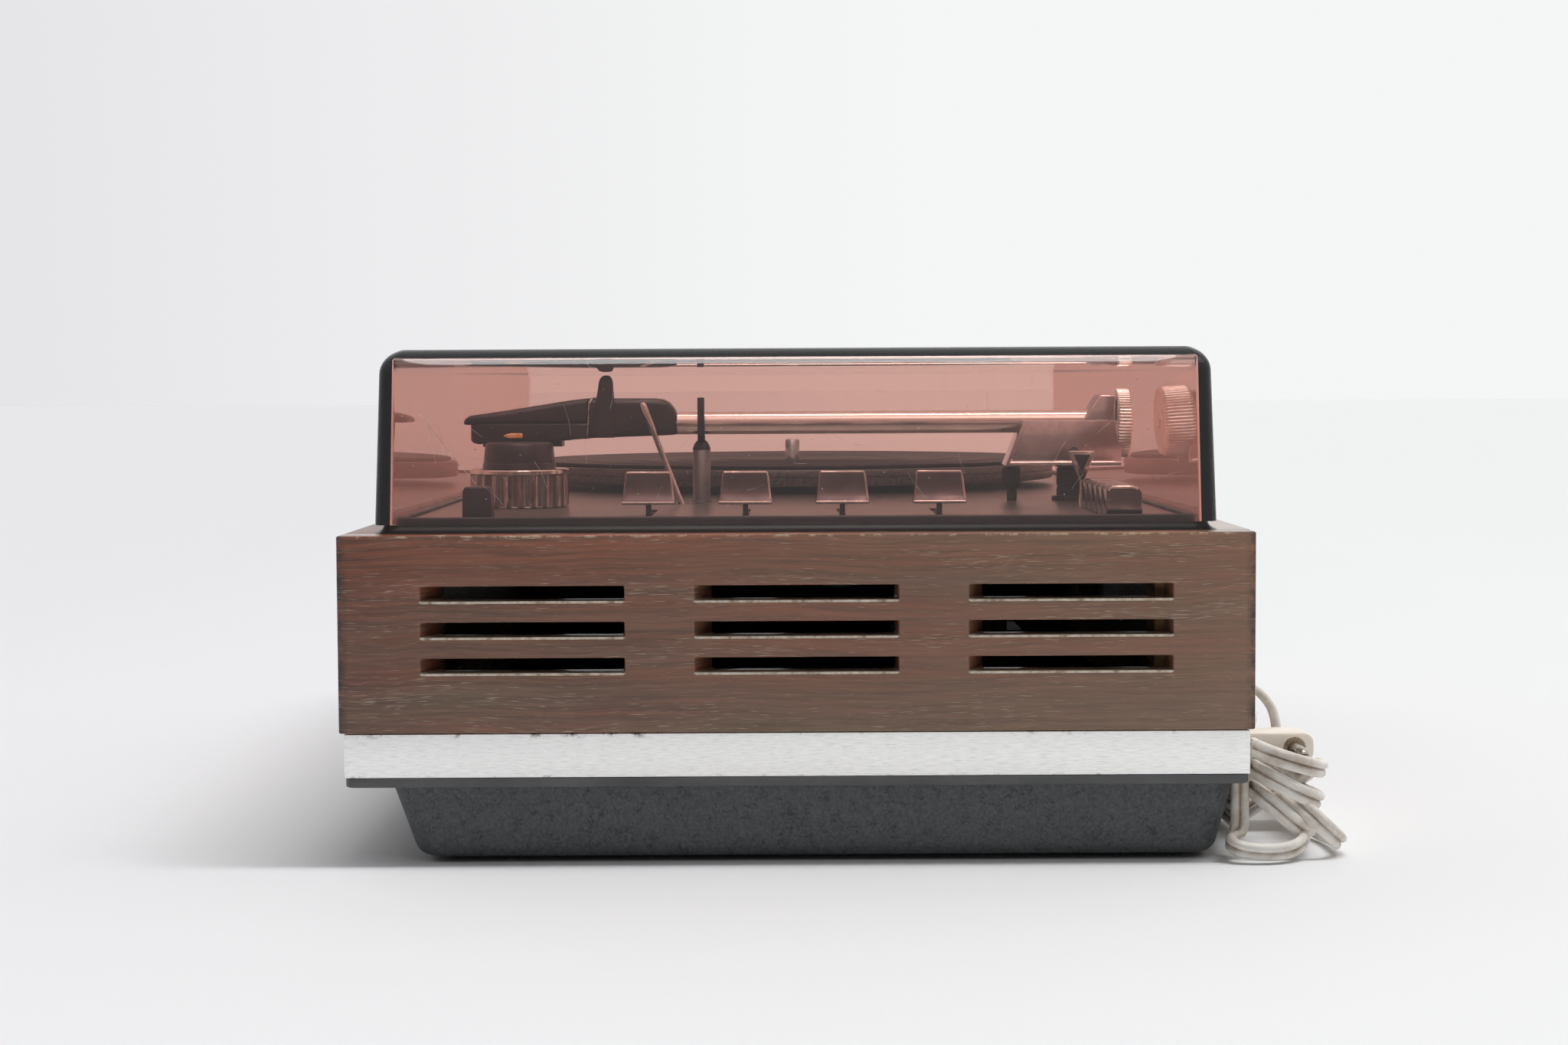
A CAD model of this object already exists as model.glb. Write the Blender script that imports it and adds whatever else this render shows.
import math

import bmesh
import bpy
from mathutils import Matrix, Vector


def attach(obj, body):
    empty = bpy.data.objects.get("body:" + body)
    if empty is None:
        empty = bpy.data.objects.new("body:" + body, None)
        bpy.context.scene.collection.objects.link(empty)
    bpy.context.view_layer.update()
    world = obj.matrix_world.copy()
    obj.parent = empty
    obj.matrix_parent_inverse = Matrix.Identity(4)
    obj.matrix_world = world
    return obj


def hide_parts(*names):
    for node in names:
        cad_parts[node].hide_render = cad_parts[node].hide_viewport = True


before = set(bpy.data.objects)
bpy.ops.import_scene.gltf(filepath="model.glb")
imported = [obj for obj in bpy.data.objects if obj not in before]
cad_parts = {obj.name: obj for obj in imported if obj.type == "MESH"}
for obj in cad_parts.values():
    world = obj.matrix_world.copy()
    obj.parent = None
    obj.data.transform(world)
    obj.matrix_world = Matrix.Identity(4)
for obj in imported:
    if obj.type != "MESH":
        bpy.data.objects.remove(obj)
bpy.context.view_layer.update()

# Camera: a long lens on a low tripod, square to the right-hand end of the cabinet, tipped a
# little down and not quite level. Its place was solved from the cabinet's own edges.
scene = bpy.context.scene
scene.view_settings.view_transform = "Standard"
tip, roll = math.radians(3.07), math.radians(0.30)
across = Vector((0, 1, 0))
upward = Vector((-math.sin(tip), 0, math.cos(tip)))
behind = Vector((math.cos(tip), 0, math.sin(tip)))
turn = Matrix((
    across * math.cos(roll) - upward * math.sin(roll),
    across * math.sin(roll) + upward * math.cos(roll),
    behind,
)).transposed()
lens = bpy.data.cameras.new("end_camera")
lens.lens, lens.sensor_width = 57.27, 36.0
camera = bpy.data.objects.new("end_camera", lens)
camera_place = (1.1839, -0.0044, 0.1762)
camera.matrix_world = Matrix.Translation(camera_place) @ turn.to_4x4()
scene.collection.objects.link(camera)
scene.camera = camera

# Mains cord: cream flat twin flex, two PVC-covered cores joined by a thin web. It leaves the rear
# panel, drops, and lies folded in a hank behind the cabinet, the folds at the near end sprung
# apart and leaning over, with one turn of the same flex round them.
gland = Vector((150.0, 172.0, 56.4))
near_x, far_x, begin_x, fold_r = 250.0, 130.0, 175.0, 13.5
flex_w, hank_turns, hank_base = 5.6, 3, 4.8
hank_tilt, fan_from = math.radians(8), 205.0
near_folds = ((0, 40.5, 17), (0, 32.4, 26), (0, 24.6, 40), (12.5, 23.2, 43))
leg, bend = near_x - far_x, math.pi * fold_r
loop = 2 * (leg + bend)
run_begin, run_end = begin_x - far_x, 2 * leg + bend + hank_turns * loop
hank_rise = (flex_w + 0.6) * (run_end - run_begin) / loop


def ease(t):
    """0 to 1 with a soft start and end."""
    t = min(1.0, max(0.0, t))
    return t * t * (3 - 2 * t)


def on_hank(run):
    """Place of the flex and the way its wide side faces, by the length run from the far outer corner."""
    s = run % loop
    if s < leg:
        x, off = far_x + s, 2 * fold_r
    elif s < leg + bend:
        a = (s - leg) / fold_r
        x, off = near_x + fold_r * math.sin(a), fold_r * (1 + math.cos(a))
    elif s < 2 * leg + bend:
        x, off = near_x - (s - leg - bend), 0.0
    else:
        a = (s - 2 * leg - bend) / fold_r
        x, off = far_x - fold_r * math.sin(a), fold_r * (1 - math.cos(a))
    fan = ease((x - fan_from) / (near_x - fan_from))
    slip, lift, lean = near_folds[int(run // loop)]
    tilt = hank_tilt + fan * (math.radians(lean) - hank_tilt)
    level = hank_base + hank_rise * (run_end - run) / (run_end - run_begin)
    y = gland.y + off * math.cos(tilt) + fan * slip
    z = level + fan * (lift - level) - off * math.sin(tilt)
    return Vector((x, y, z)), Vector((0, math.sin(tilt), math.cos(tilt)))


def through(stops, parts):
    """Points of a smooth curve through the stops, so many to each stretch."""
    line = [2 * stops[0] - stops[1], *stops, 2 * stops[-1] - stops[-2]]
    points = []
    for a, b, c, d in zip(line, line[1:], line[2:], line[3:]):
        for t in (i / parts for i in range(parts)):
            points.append((2 * b + (c - a) * t + (2 * a - 5 * b + 4 * c - d) * t * t
                           + (3 * b - a - 3 * c + d) * t ** 3) / 2)
    return points + [stops[-1]]


hank_line, hank_flat = zip(*(on_hank(run_begin + (run_end - run_begin) * i / 400) for i in range(401)))
top_z, end_z = hank_line[0].z, hank_line[-1].z
plug_gap, plug_half = 0.3, 6.1
plug_z = top_z + flex_w / 2 + plug_gap + plug_half
lead_stops = []
for x, off, share in (
        (0, 0, 1), (0, 5, 1), (0, 10, 0.96), (0, 16, 0.88), (0, 22, 0.74), (0, 26, 0.58), (0, 28, 0.42),
        (0.5, 28.5, 0.28), (2, 28, 0.16), (6, 27.5, 0.07), (12, 27, 0.02), (18, 27, 0), (25, 27, 0)):
    draw_in = 2 * fold_r * (1 - math.cos(hank_tilt)) if off >= 2 * fold_r else 0.0
    lead_stops.append(Vector((gland.x + x, gland.y + off - draw_in, top_z + share * (gland.z - top_z))))
tail_stops = [
    Vector((far_x + x, gland.y + off, end_z + share * (plug_z - end_z)))
    for x, off, share in (
        (0, 0, 0), (-8, 0, 0), (-16, 0, 0.01), (-24, 0.5, 0.05), (-31, 3, 0.13), (-36, 7.5, 0.26),
        (-37.5, 13, 0.43), (-35.5, 18.5, 0.62), (-30, 22.5, 0.82), (-22, 24, 0.98), (-12, 24, 1.07),
        (0, 22.5, 1.1), (12, 19.2, 1.06), (24, 16.6, 1.02), (35, 15.7, 1), (41, 15.5, 1), (48, 15.5, 1))
]
lead_line, tail_line = through(lead_stops, 4), through(tail_stops, 4)
flex_line = lead_line[:-1] + list(hank_line) + tail_line[1:]
sideways = Vector((1, 0, 0))
flex_flat = [sideways.lerp(hank_flat[0], ease((i / len(lead_line) - 0.48) / 0.36))
             for i in range(len(lead_line) - 1)]
flex_flat += list(hank_flat) + [hank_flat[-1]] * (len(tail_line) - 1)
tie_line = through([Vector(p) for p in (
    (250, 172, 43), (251, 168.4, 38), (252.5, 166.6, 30), (254, 166.2, 19), (256, 165.6, 11),
    (260.5, 162.4, 7.6), (266, 160.9, 6.6), (270, 164, 5.4), (271.5, 171, 4.6), (270.5, 179, 4.6),
    (266.5, 185.6, 5.8), (260, 189.5, 8.5), (253, 189, 12))], 6)
tie_flat = [Vector((0, 1, 0)).lerp(Vector((0.4, 0, 1)), ease((i / len(tie_line) - 0.3) / 0.2))
            for i in range(len(tie_line))]

lobe_r, lobe_off, groove_w = 1.8, 1.68, 1.1
lobe_meet = math.acos(-lobe_off / lobe_r)
flex_section = []
for side in (1, -1):
    for k in range(10):
        a = lobe_meet * (k / 5 - 1)
        flex_section.append((side * (lobe_off + lobe_r * math.cos(a)), side * lobe_r * math.sin(a)))


def skin(bm, rings, closed=False, caps=True):
    """Faces between each ring of points and the next, and over the two ends."""
    rows = [[bm.verts.new(p) for p in ring] for ring in rings]
    for a, b in list(zip(rows, rows[1:])) + ([(rows[-1], rows[0])] if closed else []):
        for i in range(len(a)):
            j = (i + 1) % len(a)
            bm.faces.new((a[i], a[j], b[j], b[i]))
    if caps and not closed:
        bm.faces.new(rows[0][::-1])
        bm.faces.new(rows[-1])
    return rows


def sweep(bm, line, flats, section):
    """The section carried along a line, its wide side turned to face each given direction."""
    rings = []
    for i, p in enumerate(line):
        ahead = (line[min(i + 1, len(line) - 1)] - line[max(i - 1, 0)]).normalized()
        wide = (flats[i] - flats[i].dot(ahead) * ahead).normalized()
        thin = ahead.cross(wide)
        rings.append([p + w * wide + h * thin for w, h in section])
    return skin(bm, rings)


def colour(code):
    """sRGB hex to linear."""
    parts = [int(code[i:i + 2], 16) / 255 for i in (1, 3, 5)]
    return [c / 12.92 if c <= 0.04045 else ((c + 0.055) / 1.055) ** 2.4 for c in parts] + [1.0]


def add(tree, kind, inputs=(), out=0, into=None, stops=(), **settings):
    """Add a node with its settings, its values and links by name or in order, and give one of its outputs."""
    node = tree.nodes.new("ShaderNode" + kind)
    for name, value in settings.items():
        setattr(node, name, value)
    for name, value in inputs.items() if isinstance(inputs, dict) else enumerate(inputs):
        if isinstance(value, bpy.types.NodeSocket):
            tree.links.new(value, node.inputs[name])
        else:
            node.inputs[name].default_value = colour(value) if isinstance(value, str) else value
    for i, (place, code) in enumerate(stops):
        mark = node.color_ramp.elements[i] if i < 2 else node.color_ramp.elements.new(place)
        mark.position, mark.color = place, colour(code)
    if into is not None:
        tree.links.new(node.outputs[out], into)
    return node.outputs[out]


def surface(name, values):
    """A new material, its node tree and the sockets of its shader."""
    material = bpy.data.materials.new(name)
    material.use_nodes = True
    sockets = material.node_tree.nodes["Principled BSDF"].inputs
    for key, value in values.items():
        sockets[key].default_value = colour(value) if isinstance(value, str) else value
    return material, material.node_tree, sockets


def piece(name, bm, material, body, slot, *nodes, sharp=35):
    """A finished piece from a mesh in millimetres: its material, body, slot and the nodes it stands for."""
    bmesh.ops.recalc_face_normals(bm, faces=bm.faces)
    bm.transform(Matrix.Scale(0.001, 4))
    mesh = bpy.data.meshes.new(name)
    bm.to_mesh(mesh)
    bm.free()
    mesh.materials.append(material)
    mesh.shade_smooth()
    mesh.set_sharp_from_angle(angle=math.radians(sharp))
    thing = bpy.data.objects.new(name, mesh)
    scene.collection.objects.link(thing)
    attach(thing, body)
    if nodes:
        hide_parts(*nodes)
    return thing


# Soft PVC, extruded: off-white, dull, with brown grime in the groove between the cores and grey
# smears of handling.
flex_pvc, tree, shader = surface("cream_flex_pvc", {"Roughness": 0.42, "Specular IOR Level": 0.45})
place = add(tree, "TexCoord", out="Object")
groove = add(tree, "Attribute", out="Fac", attribute_name="groove")
smear = add(tree, "TexNoise", {"Vector": place, "Scale": 1000 / 10.5, "Detail": 4.0, "Roughness": 0.6})
fine = add(tree, "TexNoise", {"Vector": place, "Scale": 1000 / 1.11, "Detail": 3.0})
tone = add(tree, "ValToRGB", {"Fac": smear}, stops=((0.34, "#d6ccc0"), (0.52, "#f0eae2"), (0.7, "#f7f3ee")))
dirt = add(tree, "MapRange", (smear, 0.35, 0.7, 0.75, 0.25))
dirt = add(tree, "Math", (groove, dirt), operation="MULTIPLY")
add(tree, "Mix", {"Factor": dirt, 6: tone, 7: "#8a6c4c"}, out=2, into=shader["Base Color"], data_type="RGBA")
add(tree, "Bump", {"Height": fine, "Strength": 0.25, "Distance": 0.0001}, into=shader["Normal"])

for name, line, flats, nodes in (
        ("mains_cord", flex_line, flex_flat, ("mains_lead", "mains_hank", "plug_lead")),
        ("hank_turn", tie_line, tie_flat, ())):
    bm = bmesh.new()
    groove_layer = bm.verts.layers.float.new("groove")
    for row in sweep(bm, line, flats, flex_section):
        for vert, (w, h) in zip(row, flex_section):
            vert[groove_layer] = max(0.0, 1 - abs(w) / groove_w)
    piece(name, bm, flex_pvc, "cabinet", "cord_cream", *nodes)

# Plug: a flat two-pin plug moulded in cream plastic round the end of the flex, a phenolic bush
# round each pin, and turned steel pins slit along their length so that they spring in the socket.
plug_y, pin_off = 187.5, 9.5


def rounded(half_a, half_b, radius, level, centre=(0.0, 0.0), axis="Z", corner=6):
    """Ring of a rounded rectangle, square to an axis."""
    ring = []
    for quarter, (sa, sb) in enumerate(((1, 1), (-1, 1), (-1, -1), (1, -1))):
        for k in range(corner + 1):
            angle = math.pi / 2 * (quarter + k / corner)
            a = centre[0] + sa * (half_a - radius) + radius * math.cos(angle)
            b = centre[1] + sb * (half_b - radius) + radius * math.sin(angle)
            ring.append(Vector({"X": (level, a, b), "Y": (b, level, a), "Z": (a, b, level)}[axis]))
    return ring


def turned(bm, profile, centre=(0, 0, 0), axis="Z", sides=48, closed=False, per_cut=1, power=1, shift=0):
    """A turned form from (place along the axis, radius and, where its rim is cut, the depth of the cuts)."""
    rings = []
    for along, radius, *depth in profile:
        ring = []
        for k in range(sides):
            angle = 2 * math.pi * (k + shift) / sides
            r = radius - sum(depth) * (0.5 - 0.5 * math.cos(2 * math.pi * k / per_cut)) ** power
            a, b = r * math.cos(angle), r * math.sin(angle)
            spot = {"X": (along, a, b), "Y": (b, along, a), "Z": (a, b, along)}[axis]
            ring.append(Vector(centre) + Vector(spot))
        rings.append(ring)
    skin(bm, rings, closed)


# Urea plastic, moulded: warm cream with a soft gloss, yellowed in patches and greyed where it was
# held.
plug_plastic, tree, shader = surface("moulded_cream_urea", {"Roughness": 0.33, "Coat Weight": 0.15})
place = add(tree, "TexCoord", out="Object")
age = add(tree, "TexNoise", {"Vector": place, "Scale": 1000 / 16.7, "Detail": 3.0})
add(tree, "ValToRGB", {"Fac": age}, into=shader["Base Color"],
    stops=((0.3, "#efe1ca"), (0.5, "#f9eedf"), (0.72, "#fcf5ea")))
grit = add(tree, "TexNoise", {"Vector": place, "Scale": 1000 / 0.833, "Detail": 2.0})
add(tree, "Bump", {"Height": grit, "Strength": 0.15, "Distance": 0.0001}, into=shader["Normal"])

bm = bmesh.new()
rings = []
for x, half, thick, corner in (
        (178, 9, 4.0, 3.0), (178.6, 10, 4.7, 3.4), (183, 13, 5.4, 3.8), (188, 16.4, 5.9, 4),
        (192, 17.5, plug_half, 4.4), (202.4, 17.5, plug_half, 4.4), (203.5, 17, 5.7, 4), (204, 16, 4.9, 3.4)):
    rings.append(rounded(half, thick, corner, x, (plug_y, plug_z), "X"))
skin(bm, rings)
plug = piece("plug_shell", bm, plug_plastic, "cabinet", "plug_cream", "plug_body")


def mottled(name, values, figure, detail, stops, rough=0.5, gloss=None, relief=None):
    """A material that follows one noise: its colour and, where given, its roughness and relief.

    The noise has figures of a size in millimetres, or of three sizes where they are drawn out.
    """
    material, tree, shader = surface(name, values)
    place = add(tree, "TexCoord", out="Object")
    scale = 1.0
    if isinstance(figure, tuple):
        place = add(tree, "Mapping", {"Vector": place, "Scale": [1000 / size for size in figure]})
    else:
        scale = 1000 / figure
    noise = add(tree, "TexNoise", {"Vector": place, "Scale": scale, "Detail": detail, "Roughness": rough})
    add(tree, "ValToRGB", {"Fac": noise}, into=shader["Base Color"], stops=stops)
    if gloss:
        add(tree, "MapRange", (noise, 0, 1, *gloss), into=shader["Roughness"])
    if relief:
        strength, height = relief
        add(tree, "Bump", {"Height": noise, "Strength": strength, "Distance": height}, into=shader["Normal"])
    return material


# Phenolic, pressed: dull brown with paler filler specks.
phenolic = mottled("brown_phenolic", {"Roughness": 0.5}, 0.667, 2,
                   ((0.35, "#8d7863"), (0.65, "#b7a48c")))
bm = bmesh.new()
for side in (-1, 1):
    turned(bm, ((203.2, 4.4), (204.2, 4.4), (204.35, 4.1), (204.35, 3.2), (204.0, 2.6)),
           (0, plug_y + side * pin_off, plug_z), "X")
plug_bushes = piece("plug_bushes", bm, phenolic, "cabinet", "plug_cream")

# Nickelled steel, turned: bright, with faint rings from the tool and dull spots.
pin_steel = mottled("turned_nickelled_steel", {"Metallic": 1.0}, 2.86, 4,
                    ((0.35, "#8a8178"), (0.6, "#c9c3bc")), gloss=(0.42, 0.2))
bm = bmesh.new()
pin_r, slit = 2.4, 0.32
for side in (-1, 1):
    centre = Vector((0, plug_y + side * pin_off, plug_z))
    turned(bm, ((203.5, pin_r), (207, pin_r)), centre, "X", 32)
    for half in (-1, 1):
        rings = []
        for x, size in ((206.9, 1.0), (220.6, 1.0), (221.8, 0.9), (222.6, 0.72), (223, 0.5)):
            r = pin_r * size
            start = math.asin(slit / r)
            arc = [start + (math.pi - 2 * start) * k / 12 for k in range(13)]
            rings.append([centre + Vector((x, r * math.cos(a), half * r * math.sin(a))) for a in arc])
        skin(bm, rings)
pins = piece("slit_pins", bm, pin_steel, "cabinet", "plug_cream", "plug_pins")

# Gland: a cream grommet pressed into the rear panel, which tapers over the flex and keeps it from
# chafing.
bm = bmesh.new()
turned(bm, ((152, 4.2), (152.4, 4.5), (168.9, 4.5), (169, 6.0), (170.2, 6.0), (170.9, 5.6), (172, 4.2),
            (172.2, 3.2)), (gland.x, 0, gland.z), "Y")
gland_ring = piece("gland_grommet", bm, flex_pvc, "cabinet", "cord_cream", "cord_gland")

# Feet: four black rubber buttons, moulded with a dish below and pressed into the floor of the
# tray.
# Black rubber, moulded: dull and nearly black, with a pale bloom in patches.
rubber = mottled("moulded_black_rubber", {"Roughness": 0.7}, 5.56, 5,
                 ((0.35, "#18181a"), (0.7, "#2c2c2d")), relief=(0.2, 0.0002))
bm = bmesh.new()
for x in (-195, 195):
    for y in (-105, 110):
        turned(bm, ((0.6, 6), (0.0, 8.5), (0.0, 10.4), (0.4, 11.1), (1.7, 12), (2, 11.8)), (x, y, 0))
piece("rubber_feet", bm, rubber, "cabinet", "rubber_black", "feet")

# Base tray: one deep tray vacuum-formed in charcoal plastic with a leather grain. Its sides lean
# in towards the floor, the front most, and its rim carries the cabinet.
tray_x, tray_y, tray_cy, tray_wall = 265.0, 157.0, 6.0, 2.5
tray_leans = [math.tan(math.radians(a)) for a in (18, 13.5, 9)]
z_foot, z_floor, z_flange, z_band = 2.0, 4.5, 29.5, 33.2


def tray_ring(z, wall):
    """Ring of the tray at a height, so far inside its outer face."""
    front, rear, end = ((z_flange - z) * lean + wall for lean in tray_leans)
    return rounded(tray_x - end, tray_y - (front + rear) / 2, 9, z, (0, tray_cy + (front - rear) / 2))


# Grained ABS: charcoal, dull, pressed with a leather grain whose broken creases lie about 2 mm
# apart.
grained, tree, shader = surface("leather_grained_abs", {"Specular IOR Level": 0.35})
place = add(tree, "TexCoord", out="Object")
folds = add(tree, "TexNoise", {"Vector": place, "Scale": 1000 / 3.2, "Detail": 3.0, "Roughness": 0.55,
                               "Distortion": 0.8})
folds = add(tree, "Math", (folds, 0.5), operation="SUBTRACT")
folds = add(tree, "Math", (folds,), operation="ABSOLUTE")
crease = add(tree, "MapRange", (folds, 0, 0.035, 1, 0))
pores = add(tree, "TexNoise", {"Vector": place, "Scale": 1000 / 1.2, "Detail": 3.0, "Roughness": 0.6})
breaks = add(tree, "TexNoise", {"Vector": place, "Scale": 1000 / 4, "Detail": 2.0})
breaks = add(tree, "MapRange", (breaks, 0.42, 0.6))
crease = add(tree, "Math", (crease, breaks), operation="MULTIPLY")
tone = add(tree, "ValToRGB", {"Fac": pores}, stops=((0.35, "#4d4f51"), (0.5, "#56585a"), (0.66, "#616365")))
dark = add(tree, "Math", (crease, 0.75), operation="MULTIPLY")
add(tree, "Mix", {"Factor": dark, 6: tone, 7: "#232426"}, out=2, into=shader["Base Color"], data_type="RGBA")
height = add(tree, "Math", (pores, crease), operation="SUBTRACT")
add(tree, "Bump", {"Height": height, "Strength": 0.6, "Distance": 0.0003}, into=shader["Normal"])
add(tree, "MapRange", (pores, 0, 1, 0.5, 0.72), into=shader["Roughness"])
bm = bmesh.new()
rings = []
for step in range(7):
    a = math.pi / 2 * step / 6
    rings.append(tray_ring(z_foot + 5 * (1 - math.cos(a)), 3 * (1 - math.sin(a))))
rings += [tray_ring(20, 0), tray_ring(z_flange, 0)]
rings += [tray_ring(z_flange, tray_wall), tray_ring(z_floor, tray_wall)]
skin(bm, rings)
piece("grained_tray", bm, grained, "cabinet", "base_plastic", "base_tray")

# Tray flange: the flat rim of the same tray, left smooth by the clamp that held the sheet. The
# band stands on its outer edge.
# Smooth ABS: charcoal like the tray, with a soft gloss that is dulled in places.
smooth_abs = mottled("smooth_charcoal_abs", {"Roughness": 0.4}, 25, 5,
                     ((0.3, "#484949"), (0.7, "#616263")), rough=0.6, gloss=(0.5, 0.3))


def soften(bm, width, segments=2, angle=30):
    """Round the sharp edges of a mesh."""
    bmesh.ops.recalc_face_normals(bm, faces=bm.faces)
    edges = [e for e in bm.edges if len(e.link_faces) == 2 and e.calc_face_angle() > math.radians(angle)]
    bmesh.ops.bevel(bm, geom=edges, offset=width, segments=segments, profile=0.5, affect="EDGES",
                    clamp_overlap=True)


band_x, band_y = 268.4, 167.4
bm = bmesh.new()
rings = [rounded(band_x, band_y, 4, z) for z in (z_flange, z_band)]
rings += [rounded(tray_x - tray_wall, tray_y - tray_wall, 8, z, (0, tray_cy)) for z in (z_band, z_flange)]
skin(bm, rings, closed=True)
soften(bm, 0.7)
piece("tray_flange", bm, smooth_abs, "cabinet", "base_plastic", "base_tray")

# Band: four strips of aluminium, brushed along their length and butted at the corners, tacked to
# the plinth bars.
band_t, band_top = 1.5, 49.4


def slab(bm, outline, low, high, centre=(0, 0, 0)):
    """A plate between two places across, with an outline of (y, z), all measured from a centre."""
    x, y, z = centre
    skin(bm, [[Vector((x + c, y + a, z + b)) for a, b in outline] for c in (low, high)])


def block(bm, corner, opposite):
    """A rectangular block between two opposite corners."""
    (x0, x1), (y0, y1), (z0, z1) = (sorted(ends) for ends in zip(corner, opposite))
    slab(bm, ((y0, z0), (y1, z0), (y1, z1), (y0, z1)), x0, x1)


# Brushed aluminium: pale, with streaks a few millimetres long and a fraction high, drawn coarser
# than the real ones so that they show, and a few brown stains along the edges.
brushed, tree, shader = surface("brushed_aluminium", {"Metallic": 1.0, "Anisotropic": 0.4})
place = add(tree, "TexCoord", out="Object")
x, y, z = (add(tree, "SeparateXYZ", {"Vector": place}, out=i) for i in range(3))
along = add(tree, "Math", (x, y), operation="ADD")
strokes = [add(tree, "Math", pair, operation="MULTIPLY")
           for pair in ((along, 1000 / 5.26), (z, 1000 / 0.357))]
strokes = add(tree, "CombineXYZ", strokes)
streak = add(tree, "TexNoise", {"Vector": strokes, "Scale": 1.0, "Detail": 4.0, "Roughness": 0.7})
stain = add(tree, "TexNoise", {"Vector": place, "Scale": 1000 / 7.69, "Detail": 5.0, "Roughness": 0.7})
edge = add(tree, "MapRange", (z, band_top / 1000 - 0.002, band_top / 1000))
foot = add(tree, "MapRange", (z, z_band / 1000 + 0.0012, z_band / 1000, 0, 0.7))
edge = add(tree, "Math", (edge, foot), operation="MAXIMUM")
stain = add(tree, "MapRange", (stain, 0.56, 0.68))
stain = add(tree, "Math", (stain, edge), operation="MULTIPLY")
tone = add(tree, "ValToRGB", {"Fac": streak}, stops=((0.3, "#d8d8d5"), (0.5, "#f2f2f0"), (0.7, "#fbfbfa")))
add(tree, "Mix", {"Factor": stain, 6: tone, 7: "#5d4a3a"}, out=2, into=shader["Base Color"], data_type="RGBA")
add(tree, "MapRange", (streak, 0, 1, 0.5, 0.34), into=shader["Roughness"])
add(tree, "Bump", {"Height": streak, "Strength": 0.25, "Distance": 0.0001}, into=shader["Normal"])
bm = bmesh.new()
for s in (-1, 1):
    block(bm, (s * band_x, -band_y, z_band), (s * (band_x - band_t), band_y, band_top))
    butt = band_x - band_t - 0.05
    block(bm, (-butt, s * band_y, z_band), (butt, s * (band_y - band_t), band_top))
soften(bm, 0.3)
piece("brushed_band", bm, brushed, "cabinet", "aluminium_band", "trim_band")


def dress(material, *nodes):
    """Give carried-over solids their finish."""
    for node in nodes:
        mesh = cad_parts[node].data
        mesh.materials.clear()
        mesh.materials.append(material)


# Plinth bars and corner blocks: sawn softwood, glued inside the cabinet where the panels meet.
# The screws bite into them.
# Spruce, sawn: pale brown, rough, with darker bands along the grain.
softwood = mottled("sawn_spruce", {"Roughness": 0.75}, (40, 40, 2.38), 4,
                   ((0.35, "#8a6a48"), (0.65, "#b9976c")), relief=(0.3, 0.0003))
dress(softwood, "plinth_bars", "corner_blocks")

# Cabinet panels: chipboard veneered in walnut with the grain lying level, oiled, and chipped pale
# along the top edge and dark at the corners. The two ends have rows of milled vent slots, each
# with one sloping end.
half_w, half_d, z_wood, z_top, panel_t = 270.0, 169.0, 49.9, 123.0, 15.0
slot_len, slot_h, slot_pitch, slot_col, slot_mid = 75.5, 5.7, 13.3, 101.0, 88.0
slot_ramp, slot_step = 6.5, 1.2

# Oiled walnut: dark brown, redder towards the top, olive in broad belts and bleached towards the
# rear, with fine darker lines, and a few pores that show as pale dashes 3 to 9 mm long.
walnut, tree, shader = surface("oiled_walnut_veneer", {"Specular IOR Level": 0.3, "Coat Weight": 0.6,
                                                       "Coat Roughness": 0.12})
place = add(tree, "TexCoord", out="Object")
x, y, z = (add(tree, "SeparateXYZ", {"Vector": place}, out=i) for i in range(3))
along = add(tree, "Math", (x, y), operation="ADD")
drift = add(tree, "TexNoise", {"Vector": place, "Scale": 1000 / 111, "Detail": 3.0})
drift = add(tree, "MapRange", (drift, 0, 1, -0.005, 0.005))
level = add(tree, "Math", (z, drift), operation="ADD")


def grain(length_mm, height_mm, detail, seed):
    """Noise drawn out along the grain, by the length and height of its figures."""
    drawn = [add(tree, "Math", pair, operation="MULTIPLY")
             for pair in ((along, 1000 / length_mm), (level, 1000 / height_mm))]
    stretched = add(tree, "CombineXYZ", (*drawn, seed))
    return add(tree, "TexNoise", {"Vector": stretched, "Scale": 1.0, "Detail": detail, "Roughness": 0.6})


belts = grain(220, 22, 4.0, 1.0)
lines = grain(60, 1.7, 4.0, 4.0)
threads = grain(16, 0.5, 3.0, 7.0)
dashes = grain(9, 0.38, 1.0, 9.0)
thick = grain(120, 12, 2.0, 12.0)
redder = add(tree, "MapRange", (z, 0.05, 0.123, -0.1, 0.1))
redder = add(tree, "Math", (belts, redder), operation="ADD")
tone = add(tree, "ValToRGB", {"Fac": redder},
           stops=((0.26, "#6f5c43"), (0.42, "#7e5742"), (0.58, "#8c503a"), (0.76, "#974f37")))
shade = add(tree, "MapRange", (lines, 0.34, 0.6, 0.75, 0))
hair = add(tree, "MapRange", (threads, 0.5, 0.7, 0, 0.42))
bleach = add(tree, "MapRange", (y, -half_d / 1000, half_d / 1000, 0, 0.36))
spread = add(tree, "MapRange", (thick, 0.4, 0.64, 0.07, -0.05))
pore = add(tree, "Math", (dashes, spread), operation="SUBTRACT")
pore = add(tree, "MapRange", (pore, 0.645, 0.71))
filled = add(tree, "Math", (pore, 0.75), operation="MULTIPLY")
scuff = add(tree, "TexNoise", {"Vector": place, "Scale": 1000 / 5.26, "Detail": 5.0, "Roughness": 0.65})
rim = add(tree, "MapRange", (z, 0.1217, 0.1226))
chip = add(tree, "MapRange", (scuff, 0.5, 0.6))
chip = add(tree, "Math", (rim, chip), operation="MULTIPLY")
facing = add(tree, "SeparateXYZ", {"Vector": add(tree, "NewGeometry", out="Normal")}, out=2)
flat = add(tree, "MapRange", (facing, 0.5, 0.9))
bevel = add(tree, "Math", (1.0, flat), operation="SUBTRACT")
chip = add(tree, "Math", (chip, bevel), operation="MULTIPLY")
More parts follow.
